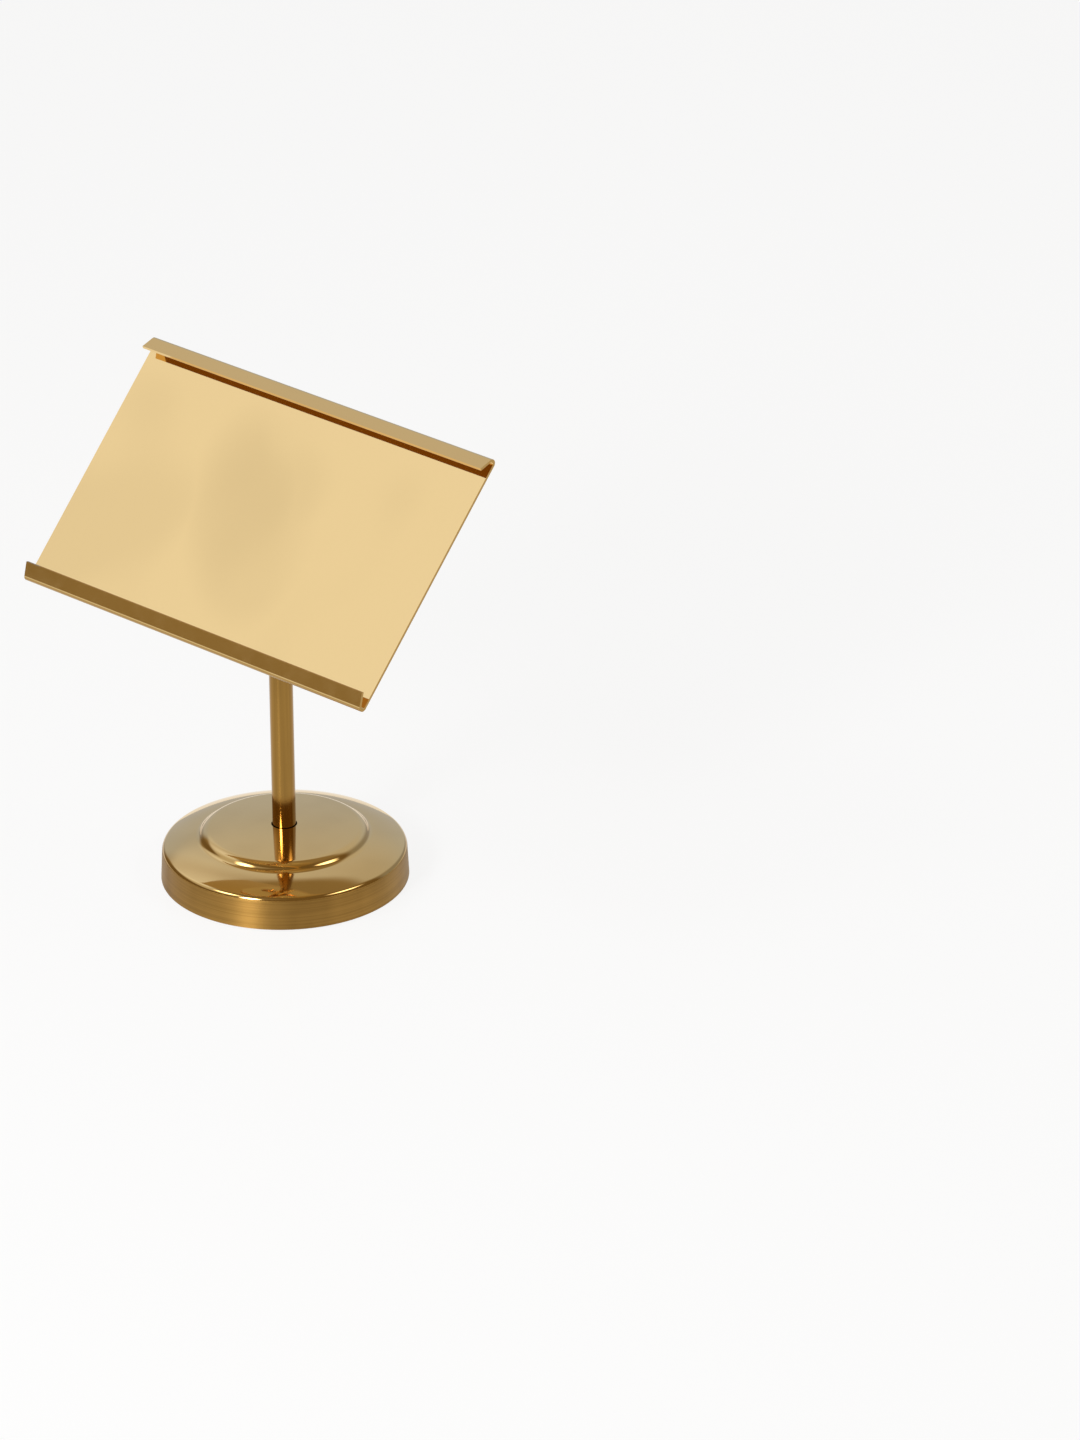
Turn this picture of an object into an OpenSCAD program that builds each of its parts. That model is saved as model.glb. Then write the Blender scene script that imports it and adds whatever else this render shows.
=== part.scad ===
// Table sign holder: a folded sign plate on a friction tilt hinge, a round stem and a weighted base.
// The stem stands on the origin, the floor is the plane z = 0 and the sign faces the viewer, along -Y.
// The sign plate is drawn leaning back, as it stands in use.

/* [Base] */
// Diameter across the foot of the base
base_d = 84; // [76:1:110]
// Height of the middle of the rolled shoulder
skirt_h = 10; // [7.5:0.5:14]
// Lean of the skirt from upright, in degrees
skirt_lean = 3; // [0:0.5:6]
// Radius of the rolled shoulder
shoulder_r = 2.2; // [1.4:0.1:2.8]
// Radius of the curve across the sloping shelf
shelf_r = 40; // [20:1:80]
// Height from the shoulder's middle up to the foot of the step
step_rise = 5.2; // [4.4:0.1:7]
// Width of the sloping shelf, from the skirt in to the foot of the step
shelf_w = 12; // [9:0.1:14]
// Radius of the hollow at the foot of the step
hollow_r = 3; // [2:0.1:3.6]
// Radius of the rounded edge round the top disc
crest_r = 4.6; // [3:0.1:5.4]
// Distance that the edge of the top disc stands in from the foot of the step
step_in = 0.7; // [0.2:0.1:1.6]
// Height of the middle of the top disc above the foot of the step
dome_rise = 4; // [3.4:0.1:5]
// Radius of the curve across the top disc
dome_r = 240; // [160:10:500]
// Thickness of the sheet of the base
shell_t = 0.9; // [0.6:0.1:1.2]

/* [Weight and pad] */
// Thickness of the pad under the base
pad_t = 1.5; // [1:0.1:2.5]
// Height of the skirt's lower edge above the floor
shell_lift = 0.4; // [0.2:0.1:0.8]
// Gap left round the pad inside the skirt
pad_gap = 0.8; // [0.4:0.1:2]
// Bevel on the edges of the weight
weight_bevel = 1; // [0.5:0.1:1.4]
// Radius of the hub that carries the middle of the base
hub_r = 9; // [8:0.5:12]
// Depth of the socket for the stem in the weight
socket_depth = 3.4; // [2:0.1:5]
// Play between the weight and the base
weight_gap = 0.1; // [0.05:0.05:0.3]

/* [Stem] */
// Diameter of the stem
stem_d = 8; // [7:0.5:9]
// Height of the tilt pivot above the floor
pivot_h = 122; // [100:0.5:200]
// Gap round the stem in the hole of the base
stem_gap = 0.4; // [0.2:0.1:0.8]
// Thickness of the flattened end of the stem
tongue_t = 4.5; // [4:0.1:5]
// Width of the flattened end of the stem
tongue_w = 12.6; // [11.6:0.2:14]
// Length below the pivot over which the stem keeps its full width
tongue_len = 8.5; // [7.5:0.5:12]
// Length over which the stem widens into the tongue
flare_len = 10; // [8:0.5:14]
// Length of the run-out of each flat
runout_len = 6.5; // [4:0.5:9]
// Bevel round the lower end of the stem
stem_bevel = 0.4; // [0.2:0.1:0.8]

/* [Screw] */
// Diameter of the screw that holds the stem
screw_d = 5; // [4:0.5:5]
// Diameter of the screw's head
screw_head_d = 9.5; // [8.5:0.1:10.5]
// Height of the screw's head
screw_head_h = 2.8; // [2.4:0.1:3.2]
// Width across the flats of the screw's hexagon socket
hex_w = 3; // [2.5:0.5:4]
// Depth of the screw's hexagon socket
hex_depth = 1.6; // [1:0.1:2]
// Length of the screw in the stem
screw_grip = 10; // [8:0.5:16]
// Thickness of the washer under the screw's head
washer_t = 1; // [0.8:0.1:1.4]
// Diameter of the washer under the screw's head
washer_d = 11; // [10.6:0.1:12.5]
// Room below the screw's head in its recess
head_room = 0.8; // [0.4:0.1:1.5]
// Play round the screw in the holes that it passes
screw_play = 0.25; // [0.15:0.05:0.4]

/* [Sign plate] */
// Width of the sign plate
sign_w = 154; // [100:1:220]
// Height of the sign plate over its two folds
sign_h = 93.5; // [78:0.5:150]
// Thickness of the sheet of the sign plate
sign_t = 0.9; // [0.7:0.1:1.2]
// Outer radius of each fold
fold_r = 1.7; // [1.4:0.1:2.4]
// Angle between each lip and the face, in degrees
lip_angle = 30; // [15:1:45]
// Length of the flat part of each lip
lip_len = 5; // [3:0.1:7]
// Height of the middle of the sign plate above the pivot
sign_rise = 2.2; // [0:0.1:5]
// Lean of the sign plate from upright, in degrees
rest_tilt = 44; // [0:1:60]

/* [Bracket] */
// Width of the bracket plate
bracket_w = 65; // [56:1:72]
// Height of the bracket plate
bracket_h = 66; // [56:1:72]
// Corner radius of the bracket plate
bracket_corner = 15; // [8:1:20]
// Thickness of the sheet of the bracket
bracket_t = 1.4; // [1:0.1:1.6]
// Height of the middle of the bracket plate above the pivot
bracket_rise = 1.9; // [0:0.1:4]
// Distance from the pivot to the back of the bracket plate
pivot_out = 11; // [10:0.5:14]
// Radius of the round end of each ear
ear_r = 8; // [7:0.5:9]
// Inner radius of the bend at the root of each ear
bend_r = 0.8; // [0.6:0.1:1.2]
// Gap that the punch leaves round each ear
punch_gap = 0.15; // [0.1:0.05:0.3]
// Share of the sheet's thickness where its length stays the same in a bend
bend_share = 0.45; // [0.35:0.05:0.5]

/* [Foam tape] */
// Thickness of the foam tape
tape_t = 2; // [1:0.1:3]
// Distance that the tape stays in from the bracket's edge
tape_inset = 0.5; // [0.3:0.1:2]
// Margin of the tape's opening round the ears' windows
tape_margin = 0.6; // [0.3:0.1:1.5]

/* [Rivet] */
// Diameter of the rivet
rivet_d = 4; // [3:0.5:5]
// Diameter of the rivet's heads
rivet_head_d = 8.6; // [7.6:0.2:9.4]
// Height of the rivet's heads
rivet_head_h = 1.4; // [1:0.1:1.8]
// Height of the upright rim of the rivet's heads
rivet_rim_h = 0.3; // [0.2:0.1:0.5]
// Thickness of each friction washer
friction_t = 0.4; // [0.3:0.1:0.6]
// Diameter of each friction washer
friction_d = 10.4; // [9.6:0.2:11]
// Play of the rivet and the screw's thread in their bores
running_gap = 0.05; // [0.02:0.01:0.08]

/* [Hidden] */
$fa = 2;
$fs = 0.3;

base_r = base_d / 2;
stem_r = stem_d / 2;

// The outline of the base is a chain of arcs: shoulder, shelf, hollow, crest and dome
shoulder_c = [skirt_at(skirt_h, shoulder_r), skirt_h];
step_foot = [base_r - shelf_w, skirt_h + step_rise];
shelf_c = meet(step_foot, shelf_r, shoulder_c, shelf_r - shoulder_r);
dome_c = [0, step_foot[1] + dome_rise - dome_r];
crest_c = on_dome(step_foot[0] - step_in - crest_r, crest_r);
hollow_c = meet(crest_c, crest_r + hollow_r, shelf_c, shelf_r + hollow_r, -1);

// The weight fills the base up to its step, and its hub carries the middle of the top disc
rim_top = skirt_h - shell_t;
boss_r = crest_c[0];
boss_top = on_dome(boss_r, shell_t)[1] - weight_bevel;
hub_top = on_dome(hub_r, shell_t)[1] - weight_gap;
stem_foot = hub_top - socket_depth;
recess_top = pad_t + head_room + screw_head_h + washer_t;
recess_r = washer_d / 2 + screw_play;

// The tongue is the stem widened along Y and pressed flat across X
tongue_r = tongue_w / 2;
flare_top = pivot_h - tongue_len;
flare_foot = flare_top - flare_len;
flare_step = tongue_r - stem_r;
flare_r = (flare_len ^ 2 + flare_step ^ 2) / (4 * flare_step);
flat_depth = stem_r - tongue_t / 2;
flat_foot = flare_foot + runout_len - stem_bevel;
runout_r = (runout_len ^ 2 + flat_depth ^ 2) / (2 * flat_depth);

// Bores that two pieces share
rivet_bore = rivet_d + 2 * running_gap;
thread_bore = screw_d + 2 * running_gap;

// The ears stand on both sides of the tongue and its washers
ear_in = tongue_t / 2 + friction_t;
ear_out = ear_in + bracket_t;
bend_x = ear_in - bend_r;
bend_len = (bend_r + bend_share * bracket_t) * PI / 2;
blank_x = bend_x + bend_len + pivot_out - bend_r;
tape_back = pivot_out + bracket_t;
sign_back = tape_back + tape_t;

// Radius of the skirt at height z, drawn in by t from its outer face
function skirt_at(z, t) = base_r - (z - shell_lift) * tan(skirt_lean) - t / cos(skirt_lean);

// Point at radius r on the top disc's curve, drawn in by t
function on_dome(r, t) = [r, dome_c[1] + sqrt((dome_r - t) ^ 2 - r ^ 2)];

function unit(v) = v / norm(v);

// Where a circle of radius ra round a meets one of radius rb round b, on the right of the way
// from a to b, or on its left with a side of -1
function meet(a, ra, b, rb, side = 1) =
    let (way = unit(b - a), gap = norm(b - a), along = (ra ^ 2 - rb ^ 2 + gap ^ 2) / (2 * gap))
    a + way * along + side * [way[1], -way[0]] * sqrt(ra ^ 2 - along ^ 2);

// Slice of a circle between the chord from a to b and its arc, which bulges by less than reach
module bulge(centre, radius, a, b, reach) {
    side = reach * unit((a + b) / 2 - centre);
    intersection() {
        translate(centre) circle(radius);
        polygon([a, b, b + side, a + side]);
    }
}

// Half section of the base, drawn in by t from its outer face
module base_section(t) {
    foot = shell_lift - t;
    skirt_top = shoulder_c + (shoulder_r - t) * [cos(skirt_lean), sin(skirt_lean)];
    shelf_out = shelf_c + (shelf_r - t) * unit(shoulder_c - shelf_c);
    shelf_in = shelf_c + (shelf_r - t) * unit(hollow_c - shelf_c);
    wall = crest_c + (crest_r - t) * unit(hollow_c - crest_c);
    rim = dome_c + (dome_r - t) * unit(crest_c - dome_c);
    difference() {
        union() {
            polygon([[0, foot], [skirt_at(foot, t), foot], skirt_top, shelf_out, shelf_in, wall, rim,
                [0, rim[1]]]);
            translate(shoulder_c) circle(shoulder_r - t);
            translate(crest_c) circle(crest_r - t);
            bulge(shelf_c, shelf_r - t, shelf_out, shelf_in, shoulder_r);
            intersection() {
                translate(dome_c) circle(dome_r - t);
                translate([0, rim[1]]) square([rim[0], dome_rise]);
            }
        }
        translate(hollow_c) circle(hollow_r + t);
    }
}

module base_shell() {
    color("goldenrod") rotate_extrude() difference() {
        base_section(0);
        base_section(shell_t);
        translate([0, stem_foot]) square([stem_r + stem_gap, hub_r]);
    }
}

module ballast_disc() {
    rim_r = skirt_at(rim_top, shell_t + weight_gap);
    color("dimgray") rotate_extrude() difference() {
        polygon([[0, pad_t], [rim_r - weight_bevel, pad_t], [rim_r, pad_t + weight_bevel],
            [rim_r, rim_top - weight_bevel], [rim_r - weight_bevel, rim_top],
            [boss_r, rim_top], [boss_r, boss_top - weight_bevel], [boss_r - weight_bevel, boss_top],
            [hub_r, boss_top], [hub_r, hub_top], [0, hub_top]]);
        translate([0, stem_foot]) square([stem_r + running_gap, hub_r]);
        square([screw_d / 2 + screw_play, hub_top]);
        square([recess_r, recess_top]);
    }
}

module base_pad() {
    color("black") cylinder(h = pad_t, r = skirt_at(pad_t, shell_t) - pad_gap);
}

// Half section of the stem with its widened end, before the end is pressed flat
module stem_section() {
    middle = [stem_r + flare_step / 2, flare_foot + flare_len / 2];
    difference() {
        union() {
            polygon([[0, stem_foot], [stem_r - stem_bevel, stem_foot], [stem_r, stem_foot + stem_bevel],
                [stem_r, flare_foot], middle, [tongue_r, flare_top], [tongue_r, pivot_h], [0, pivot_h]]);
            bulge([tongue_r - flare_r, flare_top], flare_r, middle, [tongue_r, flare_top], flare_step);
            intersection() {
                translate([0, pivot_h]) circle(tongue_r);
                translate([0, pivot_h]) square([tongue_r, tongue_r]);
            }
        }
        translate([stem_r + flare_r, flare_foot]) circle(flare_r);
    }
}

// What the press takes off one side of the tongue
module flat_cut() {
    translate([tongue_t / 2, -tongue_r, flat_foot]) cube([tongue_r, tongue_w, pivot_h]);
    translate([tongue_t / 2 + runout_r, 0, flat_foot]) rotate([90, 0, 0])
        cylinder(h = tongue_w, r = runout_r, center = true);
}

module stem() {
    thread_top = stem_foot + screw_grip + screw_d / 2;
    color("goldenrod") difference() {
        rotate_extrude() stem_section();
        flat_cut();
        mirror([1, 0, 0]) flat_cut();
        translate([0, 0, pivot_h]) rotate([0, 90, 0])
            cylinder(h = tongue_w, d = rivet_bore, center = true);
        cylinder(h = thread_top, d = thread_bore);
        translate([0, 0, thread_top]) cylinder(h = screw_d / 4, d1 = thread_bore, d2 = 0);
    }
}

module stem_screw() {
    seat = recess_top - washer_t;
    head_foot = seat - screw_head_h;
    bevel_foot = stem_foot + screw_grip - stem_bevel;
    head_ball = (screw_head_d ^ 2 / 4 + screw_head_h ^ 2) / (2 * screw_head_h);
    color("silver") difference() {
        union() {
            intersection() {
                translate([0, 0, head_foot]) cylinder(h = screw_head_h, d = screw_head_d);
                translate([0, 0, head_foot + head_ball]) sphere(head_ball);
            }
            translate([0, 0, seat]) cylinder(h = bevel_foot - seat, d = screw_d);
            translate([0, 0, bevel_foot])
                cylinder(h = stem_bevel, d1 = screw_d, d2 = screw_d - 2 * stem_bevel);
        }
        translate([0, 0, head_foot - hex_depth])
            cylinder(h = 2 * hex_depth, d = hex_w / cos(30), $fn = 6);
    }
}

module stem_washer() {
    color("silver") translate([0, 0, recess_top - washer_t]) difference() {
        cylinder(h = washer_t, d = washer_d);
        translate([0, 0, -washer_t]) cylinder(h = 3 * washer_t, d = screw_d + 2 * screw_play);
    }
}

// The head's own frame: its origin is the pivot and the sign stands upright in it
module head() {
    translate([0, 0, pivot_h]) rotate([-rest_tilt, 0, 0]) children();
}

module rivet_half() {
    head_d = rivet_head_d / 2;
    dome_h = rivet_head_h - rivet_rim_h;
    ball = (head_d ^ 2 + dome_h ^ 2) / (2 * dome_h);
    rotate([0, 90, 0]) {
        cylinder(h = ear_out, d = rivet_d);
        translate([0, 0, ear_out]) cylinder(h = rivet_rim_h, d = rivet_head_d);
        intersection() {
            translate([0, 0, ear_out + rivet_head_h - ball]) sphere(ball);
            translate([0, 0, ear_out + rivet_rim_h]) cylinder(h = dome_h, d = rivet_head_d);
        }
    }
}

module pivot_rivet() {
    color("goldenrod") head() {
        rivet_half();
        mirror([1, 0, 0]) rivet_half();
    }
}

module friction_washers() {
    color("black") head() for (side = [0, 1]) mirror([side, 0, 0])
        translate([tongue_t / 2, 0, 0]) rotate([0, 90, 0]) difference() {
            cylinder(h = friction_t, d = friction_d);
            translate([0, 0, -friction_t]) cylinder(h = 3 * friction_t, d = rivet_bore);
        }
}

// A sheet seen from the back, lying in front of the pivot with its back at distance back
module sheet(back, thickness) {
    translate([0, -back, 0]) rotate([90, 0, 0]) linear_extrude(thickness) children();
}

module rounded_plate(w, h, r) {
    square([w - 2 * r, h], center = true);
    square([w, h - 2 * r], center = true);
    for (x = [-1, 1], z = [-1, 1]) translate([x * (w / 2 - r), z * (h / 2 - r)]) circle(r);
}

// The hole that is left where an ear was cut free and bent back
module ear_window() {
    reach = ear_r + punch_gap;
    translate([bend_x, -reach]) square([blank_x - bend_x, 2 * reach]);
    translate([blank_x, 0]) circle(reach);
}

// One ear with the bend at its root, its side outline cut from a bent strip
module ear() {
    intersection() {
        linear_extrude(2 * ear_r, center = true) {
            translate([ear_in, bend_r - pivot_out]) square([bracket_t, pivot_out + ear_r]);
            intersection() {
                translate([bend_x, bend_r - pivot_out]) difference() {
                    circle(bend_r + bracket_t);
                    circle(bend_r);
                }
                translate([bend_x, -tape_back]) square(bend_r + bracket_t);
            }
        }
        rotate([90, 0, 90]) linear_extrude(ear_out) {
            circle(ear_r);
            translate([-tape_back, -ear_r]) square([tape_back, 2 * ear_r]);
        }
    }
}

module drilled_ear() {
    difference() {
        ear();
        rotate([0, 90, 0]) cylinder(h = 2 * ear_out, d = rivet_bore);
    }
}

module bracket_plate() {
    color("goldenrod") head() {
        sheet(pivot_out, bracket_t) difference() {
            translate([0, bracket_rise]) rounded_plate(bracket_w, bracket_h, bracket_corner);
            ear_window();
            mirror([1, 0]) ear_window();
        }
        drilled_ear();
        mirror([1, 0, 0]) drilled_ear();
    }
}

module foam_tape() {
    hole = ear_r + punch_gap + tape_margin;
    w = bracket_w - 2 * tape_inset;
    h = bracket_h - 2 * tape_inset;
    color("white") head() sheet(tape_back, tape_t) difference() {
        translate([0, bracket_rise]) rounded_plate(w, h, bracket_corner - tape_inset);
        square([2 * blank_x, 2 * hole], center = true);
        for (side = [-1, 1]) translate([side * blank_x, 0]) circle(hole);
    }
}

// Sections of the sign plate, with x forward from its back and y up from its middle
module flat_section() {
    flat = sign_h / 2 - fold_r;
    ridge = flat + sign_t / 2;
    polygon([[0, -flat], [sign_t / 2, -ridge], [sign_t, -flat],
        [sign_t, flat], [sign_t / 2, ridge], [0, flat]]);
}

module fold_section() {
    out = 2 * fold_r * [cos(lip_angle), sin(lip_angle)];
    intersection() {
        difference() {
            circle(fold_r);
            circle(fold_r - sign_t);
        }
        polygon([[0, 0], out, [2 * fold_r, 2 * fold_r], [-2 * fold_r, 2 * fold_r], [-2 * fold_r, 0]]);
    }
}

module lip_section() {
    half = sign_t / 2;
    rotate(lip_angle) translate([fold_r - half, 0])
        polygon([[0, half], [half, 0], [half, -lip_len], [-half, -lip_len], [-half, 0]]);
}

module fold_and_lip() {
    translate([fold_r, sign_h / 2 - fold_r]) {
        linear_extrude(sign_w) fold_section();
        linear_extrude(sign_w) lip_section();
    }
}

module sign_plate() {
    color("gold") head() translate([sign_w / 2, -sign_back, sign_rise]) rotate([90, 0, -90]) {
        linear_extrude(sign_w) flat_section();
        fold_and_lip();
        mirror([0, 1, 0]) fold_and_lip();
    }
}

base_shell();
ballast_disc();
base_pad();
stem();
stem_screw();
stem_washer();
pivot_rivet();
friction_washers();
bracket_plate();
foam_tape();
sign_plate();
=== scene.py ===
import math

import bpy
from mathutils import Matrix, Vector


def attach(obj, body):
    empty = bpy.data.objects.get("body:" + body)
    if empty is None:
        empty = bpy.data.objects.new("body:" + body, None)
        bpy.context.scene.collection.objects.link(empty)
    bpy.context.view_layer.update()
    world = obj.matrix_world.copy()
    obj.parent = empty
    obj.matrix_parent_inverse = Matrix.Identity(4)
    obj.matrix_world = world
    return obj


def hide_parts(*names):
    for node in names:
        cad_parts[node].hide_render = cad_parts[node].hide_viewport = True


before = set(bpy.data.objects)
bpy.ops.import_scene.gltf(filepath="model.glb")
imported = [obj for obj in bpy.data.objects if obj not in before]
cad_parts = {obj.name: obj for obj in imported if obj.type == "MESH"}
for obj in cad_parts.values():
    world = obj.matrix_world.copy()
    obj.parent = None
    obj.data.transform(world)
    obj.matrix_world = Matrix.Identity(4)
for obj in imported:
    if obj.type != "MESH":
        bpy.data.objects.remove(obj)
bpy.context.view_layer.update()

# Where the photograph's camera stands, in the part's own frame
CAMERA_PLACE = (1.60427, -1.64749, 1.17261)
CAMERA_TURN = 42.08
CAMERA_FALL = 25.89
CAMERA_ROLL = -0.37
LENS = 190.30
SENSOR = 36.0
FARTHEST = 50.0

# The floor, and the share of plain white that the camera and the metal see in it
FLOOR_HALF = 0.9
FLOOR_DROP = 0.00005
FLOOR_WHITE = 0.86
FLOOR_COLOUR = (0.82, 0.84, 0.86)
FLOOR_ROUGHNESS = 0.25

# The studio: a broad glow that the sign faces, a pale backdrop behind, and a dark room elsewhere
GLOW = Vector((-0.603, -0.459, 0.653)).normalized()
BEHIND = Vector((-0.330, 0.944, 0.0))
GLOW_LIGHT = (1.0, 1.03, 1.10)
BACKDROP_LOW = (0.50, 0.54, 0.63)
BACKDROP_HIGH = (0.55, 0.53, 0.50)
ROOM = (0.29, 0.21, 0.10)
FLOOR_BEYOND = (0.92, 0.92, 0.92)

# Where each of them begins and ends: heights go from -1 straight down to 1 straight up, and
# closeness to a way goes from -1 to 1
HORIZON = (-0.13, -0.085)
BACKDROP_HEIGHTS = (0.30, 0.75)
GLOW_FOOT = (0.40, 0.54)
CEILING = (0.79, 0.87)
BEHIND_EDGE = (0.42, 0.62)
GLOW_EDGE = (0.3, 1.0)
GLOW_FALL = 1.8

# The lamps: how far off they stand, what they face, and where from the middle to the rim they
# fade, the whole lamp being 1 wide
LAMP_DISTANCE = 1.3
LAMP_AIM = Vector((0, 0, 0.06))
LAMP_MIDDLE = (0.5, 0.5, 0.0)
LAMP_FADE = (0.1, 0.5)

# The outline of the base, a chain of arcs in millimetres, as in the part's source
MM = 0.001
BASE_R = 42
SKIRT_H = 10
SKIRT_LEAN = math.radians(3)
SHOULDER_R = 2.2
SHELF_R = 40
STEP_RISE = 5.2
SHELF_W = 12
HOLLOW_R = 3
CREST_R = 4.6
STEP_IN = 0.7
DOME_RISE = 4
DOME_R = 240
SHELL_T = 0.9
SHELL_LIFT = 0.4
HOLE_R = 4.4
SATIN_TOP = 10.9

# How finely the outline is cut: steps round the axis, and the bend that stays sharp
TURNS = 256
SHARP_BEND = math.radians(35)

# The way that the sign's face looks at rest, and the soft darker patch on it: its middle,
# and the steps across and along it, each divided by the patch's half size that way
SIGN_FACE = (0.0, -0.719, 0.695)
CLOUD = (-0.004, -0.005, 0.132)
CLOUD_ACROSS = (41.0, 17.4, 18.0)
CLOUD_ALONG = (15.3, -17.5, -18.1)
CLOUD_EDGE = 1.9

# Where the upper lip begins at rest, and how squarely a part faces before it counts as flat
UPPER_LIP = (0.152, 0.156)
FLAT = (0.70, 0.86)
LIP_FLAT = (0.35, 0.50)
# How upright a face of the base is where its painted shade begins, and where it is full
SLOPE_SHADE_RANGE = (0.88, 0.70)

# Roughness of the polished sheet, from its clean parts to its smudged ones, and what the bends
# and edges of the sign add to it
SIGN_SMUDGE = (0.045, 0.075)
PRESSED_SMUDGE = (0.055, 0.085)
SATIN_MORE = 0.16

# How high the sheet's faint waves and lines stand, in metres
SIGN_WAVE = 0.00003
SIGN_LINES = 0.0000003
PRESSED_WAVE = 0.00002

# Golds. The deep, skirt and stem ones are darker copies of the same gold: painted shade for the
# darker surroundings that these parts mirror. The skirt's and stem's second colours also tint
# their fine lines and blots at random.
BRIGHT_GOLD = (0.83, 0.60, 0.28)
CLOUDED_GOLD = (0.70, 0.50, 0.23)
PAINTED_SHADE_GOLD = (0.44, 0.27, 0.085)
BACK_GOLD = (0.74, 0.46, 0.145)
WORN_BACK_GOLD = (0.67, 0.41, 0.125)
BRACKET_GOLD = (0.84, 0.57, 0.21)
SKIRT_GOLD_PAINTED_SHADE = (0.43, 0.245, 0.063)
SKIRT_STREAKS_PAINTED_SHADE = (0.31, 0.172, 0.042)
STEM_GOLD_PAINTED_SHADE = (0.37, 0.205, 0.050)
STEM_STREAKS_PAINTED_SHADE = (0.25, 0.135, 0.032)

# How many fine lines to the metre each way: turned ones run round the axis, drawn ones along it
TURNED_LINES = (16.0, 16.0, 2600.0)
DRAWN_LINES = (520.0, 520.0, 6.0)

# The tangent runs round the axis, and this turn of it draws the highlights out along the axis
QUARTER_TURN = 0.25


def add_object(name, data):
    piece = bpy.data.objects.new(name, data)
    bpy.context.scene.collection.objects.link(piece)
    return piece


def add_camera():
    data = bpy.data.cameras.new("camera")
    data.sensor_fit = "AUTO"
    data.sensor_width = SENSOR
    data.lens = LENS
    data.clip_end = FARTHEST
    camera = add_object("camera", data)
    camera.matrix_world = (
        Matrix.Translation(CAMERA_PLACE)
        @ Matrix.Rotation(math.radians(CAMERA_TURN), 4, "Z")
        @ Matrix.Rotation(math.radians(90.0 - CAMERA_FALL), 4, "X")
        @ Matrix.Rotation(math.radians(CAMERA_ROLL), 4, "Z")
    )
    bpy.context.scene.camera = camera


class Tree:
    """A node tree, with one short call for each kind of node that the scene uses."""

    def __init__(self, tree):
        self.nodes, self.links = tree.nodes, tree.links

    def give(self, place, value):
        """Puts a number, a vector, a colour or a socket into an input."""
        if isinstance(value, bpy.types.NodeSocket):
            self.links.new(value, place)
        elif place.type == "RGBA":
            place.default_value = (*value, 1.0)
        else:
            place.default_value = value

    def math(self, operation, *values):
        node = self.nodes.new("ShaderNodeMath")
        node.operation = operation
        for place, value in zip(node.inputs, values):
            self.give(place, value)
        return node.outputs[0]

    def vector(self, operation, first, second, output="Vector"):
        node = self.nodes.new("ShaderNodeVectorMath")
        node.operation = operation
        self.give(node.inputs[0], first)
        self.give(node.inputs[1], second)
        return node.outputs[output]

    def toward(self, direction, way):
        """How far a vector goes along a way."""
        return self.vector("DOT_PRODUCT", direction, way, "Value")

    def ramp(self, value, start, end, low=0.0, high=1.0, smooth=True):
        """A number that goes from low to high while the value goes from start to end."""
        node = self.nodes.new("ShaderNodeMapRange")
        node.interpolation_type = "SMOOTHSTEP" if smooth else "LINEAR"
        ends = {"From Min": start, "From Max": end, "To Min": low, "To Max": high}
        for name, number in ends.items():
            node.inputs[name].default_value = number
        self.give(node.inputs["Value"], value)
        return node.outputs[0]

    def mix(self, share, low, high):
        """Mixes two colours by a share; a Mix node has them in sockets 6 and 7, and gives 2."""
        node = self.nodes.new("ShaderNodeMix")
        node.data_type = "RGBA"
        for place, value in ((0, share), (6, low), (7, high)):
            self.give(node.inputs[place], value)
        return node.outputs[2]

    def place(self, output="Object"):
        return self.nodes.new("ShaderNodeTexCoord").outputs[output]

    def noise(self, scale, detail=2.0, stretch=(1, 1, 1)):
        """Soft patches, scale of them to the metre, drawn out where the stretch is small."""
        node = self.nodes.new("ShaderNodeTexNoise")
        self.give(node.inputs["Vector"], self.vector("MULTIPLY", self.place(), stretch))
        node.inputs["Scale"].default_value = scale
        node.inputs["Detail"].default_value = detail
        return node.outputs["Fac"]

    def bump(self, height, distance, under=None):
        node = self.nodes.new("ShaderNodeBump")
        node.inputs["Distance"].default_value = distance
        self.give(node.inputs["Height"], height)
        if under:
            self.give(node.inputs["Normal"], under)
        return node.outputs[0]


def new_material(name, metallic=0.0):
    material = bpy.data.materials.new(name)
    material.use_nodes = True
    shader = material.node_tree.nodes["Principled BSDF"]
    shader.inputs["Metallic"].default_value = metallic
    return material, Tree(material.node_tree), shader


def finish_material(tree, shader, colour, roughness, normal):
    tree.give(shader.inputs["Base Color"], colour)
    tree.give(shader.inputs["Roughness"], roughness)
    tree.give(shader.inputs["Normal"], normal)


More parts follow.
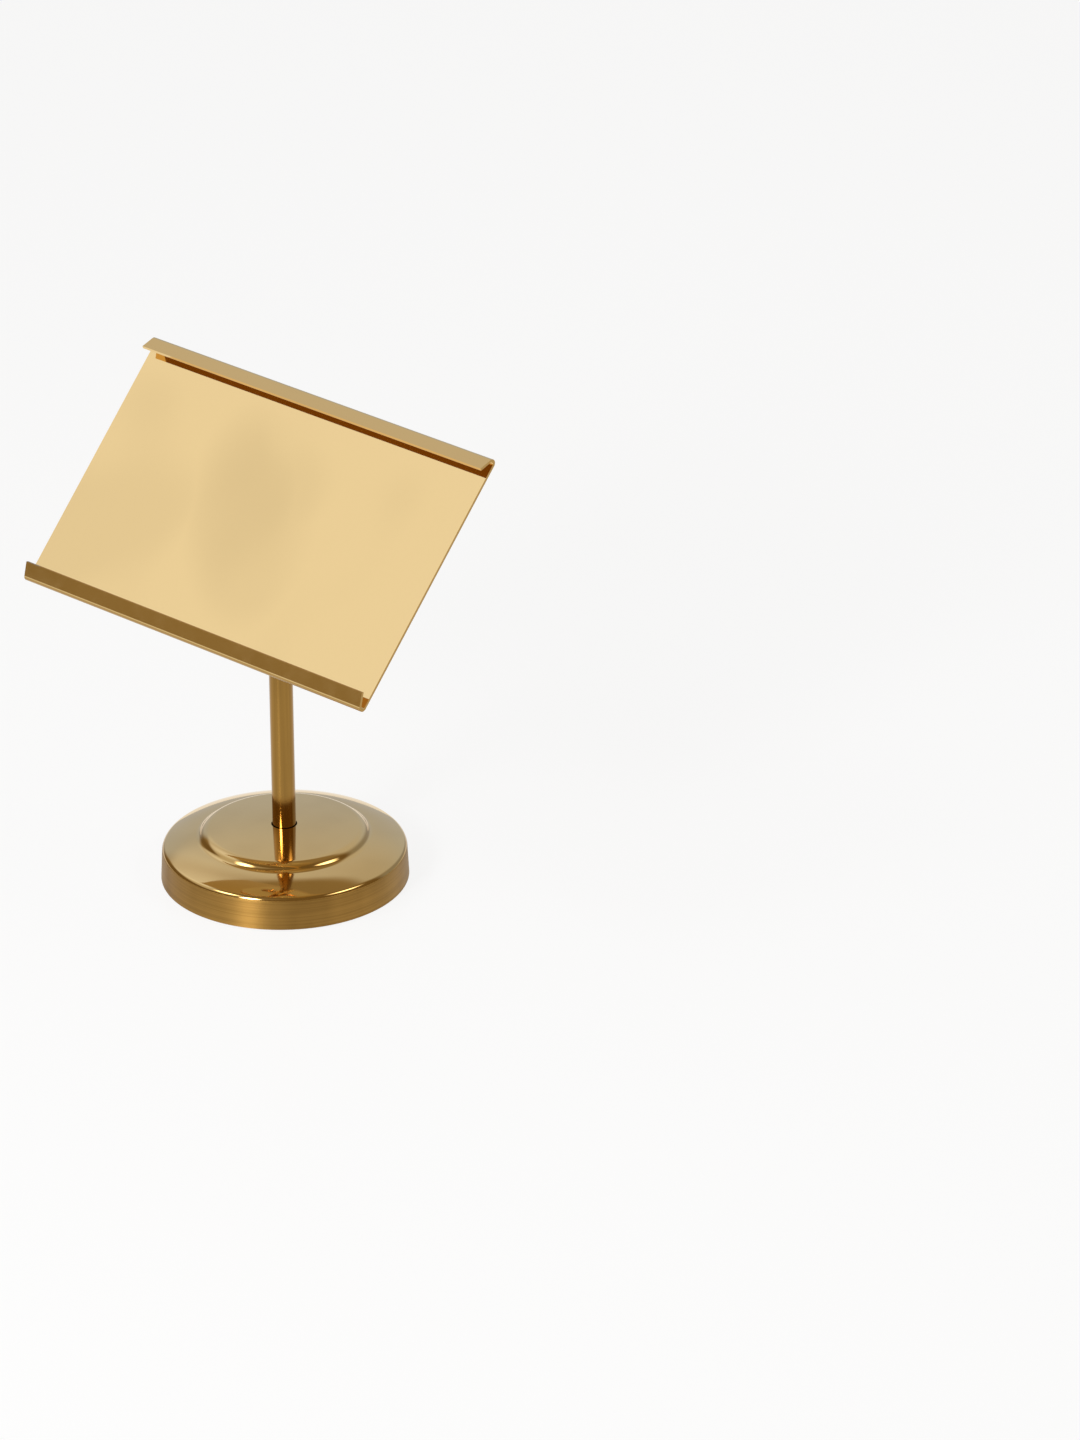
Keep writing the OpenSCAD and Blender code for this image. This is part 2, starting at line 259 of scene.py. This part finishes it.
def sign_gold():
    """Folded sheet: a mirror with a soft darker patch, rougher on bends and edges, where painted
    shade deepens its colour too.
    """
    material, tree, shader = new_material("sign_gold", 1.0)
    look = tree.toward(tree.place("Normal"), SIGN_FACE)
    side = tree.math("ABSOLUTE", look)
    upper_lip = tree.ramp(tree.toward(tree.place(), (0, 0, 1)), *UPPER_LIP)
    flat = tree.math("MAXIMUM", tree.ramp(side, *FLAT),
                     tree.math("MULTIPLY", upper_lip, tree.ramp(side, *LIP_FLAT)))
    away = tree.vector("SUBTRACT", tree.place(), CLOUD)
    across, along = tree.toward(away, CLOUD_ACROSS), tree.toward(away, CLOUD_ALONG)
    out = tree.math("ADD", tree.math("MULTIPLY", across, across),
                    tree.math("MULTIPLY", along, along))
    mottle = tree.ramp(tree.noise(32, detail=0.0), 0.30, 0.62, low=0.4, high=0.75)
    patch = tree.math("MULTIPLY", tree.ramp(out, CLOUD_EDGE, 0.0), mottle)
    elsewhere = tree.ramp(tree.noise(24, detail=0.0), 0.45, 0.75, high=0.4)
    cloud = tree.math("MAXIMUM", patch, elsewhere)
    front = tree.mix(cloud, BRIGHT_GOLD, CLOUDED_GOLD)
    back = tree.mix(cloud, BACK_GOLD, WORN_BACK_GOLD)
    bright = tree.mix(tree.ramp(look, 0.1, -0.1), front, back)
    smudge = tree.ramp(tree.noise(160, detail=3.0), 0.35, 0.75, *SIGN_SMUDGE)
    roughness = tree.math("ADD", smudge, tree.ramp(flat, 0.0, 1.0, low=SATIN_MORE, high=0.0))
    wave = tree.bump(tree.noise(22, detail=0.0), SIGN_WAVE)
    lines = tree.bump(tree.noise(900, detail=1.0, stretch=(0.02, 1, 1)), SIGN_LINES, wave)
    # Every face that is not flat, bends, edges and lips alike, takes the deep gold as painted
    # shade
    finish_material(tree, shader, tree.mix(flat, PAINTED_SHADE_GOLD, bright), roughness, lines)
    return material


def polished_gold(name, bright, worn, painted_shade_share=0.0):
    """Pressed and polished sheet with faint waves and soft smudges, and painted shade that
    deepens its leaning faces by the share given.
    """
    material, tree, shader = new_material(name, 1.0)
    colour = tree.mix(tree.ramp(tree.noise(45), 0.35, 0.70, high=0.4), bright, worn)
    # Painted shade: faces that lean away from upright turn towards the deep gold
    painted_slope_shade = tree.ramp(tree.toward(tree.place("Normal"), (0, 0, 1)), *SLOPE_SHADE_RANGE, high=painted_shade_share)
    smudge = tree.ramp(tree.noise(220, detail=3.0), 0.35, 0.75, *PRESSED_SMUDGE)
    wave = tree.bump(tree.noise(70, detail=0.0), PRESSED_WAVE)
    finish_material(tree, shader, tree.mix(painted_slope_shade, colour, PAINTED_SHADE_GOLD), smudge, wave)
    return material


def brushed_gold(name, bright, dark, roughness, spread, line_counts, depth):
    """Gold with fine lines, whose highlights are drawn out along the upright axis."""
    material, tree, shader = new_material(name, 1.0)
    tangent = tree.nodes.new("ShaderNodeTangent")
    tangent.direction_type = "RADIAL"
    tangent.axis = "Z"
    tree.give(shader.inputs["Tangent"], tangent.outputs[0])
    tree.give(shader.inputs["Anisotropic"], spread)
    tree.give(shader.inputs["Anisotropic Rotation"], QUARTER_TURN)
    lines = tree.noise(1, stretch=line_counts)
    patches = tree.noise(60, stretch=(1, 1, 0.4))
    streaks = tree.ramp(lines, 0.35, 0.65, high=0.6)
    blots = tree.ramp(patches, 0.35, 0.70, high=0.4)
    rough = tree.ramp(patches, 0.3, 0.7, low=0.92 * roughness, high=1.08 * roughness)
    colour = tree.mix(tree.math("ADD", streaks, blots), bright, dark)
    finish_material(tree, shader, colour, rough, tree.bump(lines, depth))
    return material


def grained(name, low, high, scale, depth, roughness, metallic=0.0):
    """A stuff with scale lumps of grain to the metre, depth metres high, and broad patches."""
    material, tree, shader = new_material(name, metallic)
    grain = tree.noise(scale, detail=3.0)
    colour = tree.mix(tree.ramp(tree.noise(scale * 0.08), 0.3, 0.7), low, high)
    rough = tree.ramp(grain, 0.3, 0.7, low=roughness, high=1.25 * roughness)
    finish_material(tree, shader, colour, rough, tree.bump(grain, depth))
    return material


def add_floor():
    """A plain pale floor, which shows as nearly white and keeps the object's shadow."""
    mesh = bpy.data.meshes.new("floor")
    h, z = FLOOR_HALF, -FLOOR_DROP
    mesh.from_pydata([(-h, -h, z), (h, -h, z), (h, h, z), (-h, h, z)], [], [(0, 1, 2, 3)])
    material, tree, shader = new_material("floor")
    tree.give(shader.inputs["Base Color"], FLOOR_COLOUR)
    tree.give(shader.inputs["Roughness"], FLOOR_ROUGHNESS)
    rays = tree.nodes.new("ShaderNodeLightPath").outputs
    seen = tree.math("MAXIMUM", rays["Is Camera Ray"], rays["Is Glossy Ray"])
    seen = tree.math("MAXIMUM", seen, rays["Is Transmission Ray"])
    mix = tree.nodes.new("ShaderNodeMixShader")
    tree.give(mix.inputs[0], tree.math("MULTIPLY", seen, FLOOR_WHITE))
    tree.give(mix.inputs[1], shader.outputs[0])
    tree.give(mix.inputs[2], tree.nodes.new("ShaderNodeEmission").outputs[0])
    tree.give(tree.nodes["Material Output"].inputs["Surface"], mix.outputs[0])
    mesh.materials.append(material)
    add_object("floor", mesh)


def add_world():
    world = bpy.data.worlds.new("studio")
    world.use_nodes = True
    bpy.context.scene.world = world
    tree = Tree(world.node_tree)
    direction = tree.place("Generated")
    up = tree.toward(direction, (0, 0, 1))
    backdrop = tree.mix(tree.ramp(up, *BACKDROP_HEIGHTS), BACKDROP_LOW, BACKDROP_HIGH)
    sides = tree.mix(tree.ramp(tree.toward(direction, BEHIND), *BEHIND_EDGE), ROOM, backdrop)
    close = tree.ramp(tree.toward(direction, GLOW), *GLOW_EDGE, smooth=False)
    glow = tree.math("MULTIPLY", tree.math("POWER", close, GLOW_FALL), tree.ramp(up, *GLOW_FOOT))
    walls = tree.mix(glow, sides, GLOW_LIGHT)
    above = tree.mix(tree.ramp(up, *CEILING), walls, ROOM)
    studio = tree.mix(tree.ramp(up, *HORIZON), FLOOR_BEYOND, above)
    tree.give(tree.nodes["Background"].inputs["Color"], studio)


def add_lamp(name, turn, rise, size, power):
    """A soft oval lamp, turn degrees to the right of the front and rise degrees up."""
    data = bpy.data.lights.new(name, "AREA")
    data.shape = "ELLIPSE"
    data.size, data.size_y = size
    data.energy = power
    data.use_nodes = True
    tree = Tree(data.node_tree)
    place = tree.nodes.new("ShaderNodeNewGeometry").outputs["Parametric"]
    out = tree.vector("DISTANCE", place, LAMP_MIDDLE, "Value")
    strength = tree.ramp(out, *LAMP_FADE, low=1.0, high=0.0)
    tree.give(tree.nodes["Emission"].inputs["Strength"], strength)
    lamp = add_object(name, data)
    t, r = math.radians(turn), math.radians(rise)
    way = Vector((math.sin(t) * math.cos(r), -math.cos(t) * math.cos(r), math.sin(r)))
    lamp.location = way * LAMP_DISTANCE + LAMP_AIM
    lamp.rotation_euler = way.to_track_quat("Z", "Y").to_euler()


def unit(v):
    return v / v.length


def meet(a, ra, b, rb, side=1):
    """Where a circle of radius ra round a meets one of radius rb round b."""
    way, gap = unit(b - a), (b - a).length
    along = (ra ** 2 - rb ** 2 + gap ** 2) / (2 * gap)
    return a + way * along + side * Vector((way.y, -way.x)) * math.sqrt(ra ** 2 - along ** 2)


def arc(centre, radius, start, end, count):
    """Points on a circle, the short way from the direction start to the direction end."""
    a0, a1 = math.atan2(start.y, start.x), math.atan2(end.y, end.x)
    a1 += 2 * math.pi * round((a0 - a1) / (2 * math.pi))
    turns = [a0 + (a1 - a0) * i / count for i in range(count + 1)]
    return [centre + radius * Vector((math.cos(a), math.sin(a))) for a in turns]


def skirt_at(z, t):
    """Radius of the skirt at height z, drawn in by t."""
    return BASE_R - (z - SHELL_LIFT) * math.tan(SKIRT_LEAN) - t / math.cos(SKIRT_LEAN)


def base_outline(t):
    """The outline of the base from its hole down to its foot, drawn in by t."""
    shoulder = Vector((skirt_at(SKIRT_H, SHOULDER_R), SKIRT_H))
    foot = Vector((BASE_R - SHELF_W, SKIRT_H + STEP_RISE))
    shelf = meet(foot, SHELF_R, shoulder, SHELF_R - SHOULDER_R)
    dome = Vector((0, foot.y + DOME_RISE - DOME_R))
    crest_x = foot.x - STEP_IN - CREST_R
    crest = Vector((crest_x, dome.y + math.sqrt((DOME_R - CREST_R) ** 2 - crest_x ** 2)))
    hollow = meet(crest, CREST_R + HOLLOW_R, shelf, SHELF_R + HOLLOW_R, -1)
    hole = Vector((HOLE_R, math.sqrt((DOME_R - t) ** 2 - HOLE_R ** 2)))
    side = Vector((math.cos(SKIRT_LEAN), math.sin(SKIRT_LEAN)))
    points = arc(dome, DOME_R - t, hole, crest - dome, 24)
    points += arc(crest, CREST_R - t, crest - dome, hollow - crest, 20)[1:]
    points += arc(hollow, HOLLOW_R + t, crest - hollow, shelf - hollow, 14)[1:]
    points += arc(shelf, SHELF_R - t, hollow - shelf, shoulder - shelf, 24)[1:]
    points += arc(shoulder, SHOULDER_R - t, shoulder - shelf, side, 16)[1:]
    points.append(Vector((skirt_at(SHELL_LIFT, t), SHELL_LIFT)))
    return points


def lathe(name, loop):
    """Turns a closed loop of (radius, height) points, in millimetres, round the upright axis."""
    n = len(loop)
    turns = [2 * math.pi * k / TURNS for k in range(TURNS)]
    points = [(p.x * MM * math.cos(a), p.x * MM * math.sin(a), p.y * MM)
              for a in turns for p in loop]
    steps = [(k * n, (k + 1) % TURNS * n, i, (i + 1) % n) for k in range(TURNS) for i in range(n)]
    faces = [(here + j, there + j, there + i, here + i) for here, there, i, j in steps]
    mesh = bpy.data.meshes.new(name)
    mesh.from_pydata(points, [], faces)
    mesh.shade_smooth()
    mesh.set_sharp_from_angle(angle=SHARP_BEND)
    return add_object(name, mesh)


def add_shell(top, skirt):
    """The drawn base with its mirror top and its satin skirt, whose darker gold is painted shade.
    """
    shell = lathe("drawn_base", base_outline(0) + base_outline(SHELL_T)[::-1])
    shell.data.materials.append(top)
    shell.data.materials.append(skirt)
    for face in shell.data.polygons:
        if face.center.z < SATIN_TOP * MM:
            face.material_index = 1
    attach(shell, "base")
    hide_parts("base_shell")


def dress(look, *nodes):
    for node in nodes:
        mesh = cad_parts[node].data
        mesh.materials.clear()
        mesh.materials.append(look)


def dress_all():
    """Gives every piece its material."""
    # Painted shade deepens the top's leaning faces, on the ring and shoulder
    top = polished_gold("top_gold", BRIGHT_GOLD, CLOUDED_GOLD, painted_shade_share=0.9)
    # The skirt's and stem's darker golds are painted shade
    skirt = brushed_gold("skirt_gold", SKIRT_GOLD_PAINTED_SHADE, SKIRT_STREAKS_PAINTED_SHADE,
                         roughness=0.46, spread=0.9, line_counts=TURNED_LINES, depth=0.000003)
    stem = brushed_gold("stem_gold", STEM_GOLD_PAINTED_SHADE, STEM_STREAKS_PAINTED_SHADE,
                        roughness=0.10, spread=0.5, line_counts=DRAWN_LINES, depth=0.000004)
    rubber = grained("rubber", (0.018, 0.018, 0.018), (0.030, 0.029, 0.028),
                     scale=1500, depth=0.00012, roughness=0.62)
    foam = grained("foam", (0.80, 0.80, 0.77), (0.88, 0.88, 0.85),
                   scale=2600, depth=0.00030, roughness=0.75)
    nylon = grained("nylon", (0.012, 0.012, 0.012), (0.020, 0.020, 0.020),
                    scale=3000, depth=0.00002, roughness=0.40)
    iron = grained("cast_iron", (0.08, 0.08, 0.085), (0.14, 0.135, 0.13),
                   scale=1100, depth=0.00015, roughness=0.48, metallic=0.6)
    zinc = grained("zinc_plate", (0.52, 0.53, 0.56), (0.62, 0.62, 0.63),
                   scale=2400, depth=0.000006, roughness=0.24, metallic=1.0)
    add_shell(top, skirt)
    dress(top, "base_shell")
    dress(polished_gold("bracket_gold", BRACKET_GOLD, BACK_GOLD), "bracket_plate", "pivot_rivet")
    dress(sign_gold(), "sign_plate")
    dress(stem, "stem")
    dress(rubber, "base_pad")
    dress(foam, "foam_tape")
    dress(nylon, "friction_washers")
    dress(iron, "ballast_disc")
    dress(zinc, "stem_screw", "stem_washer")


dress_all()
add_camera()
add_floor()
add_world()
add_lamp("front_lamp", turn=10, rise=28, size=(0.50, 0.50), power=23)
add_lamp("left_lamp", turn=-23, rise=45, size=(0.65, 0.45), power=7)
add_lamp("side_lamp", turn=110, rise=43, size=(0.95, 0.45), power=7)
bpy.context.scene.view_settings.view_transform = "Standard"
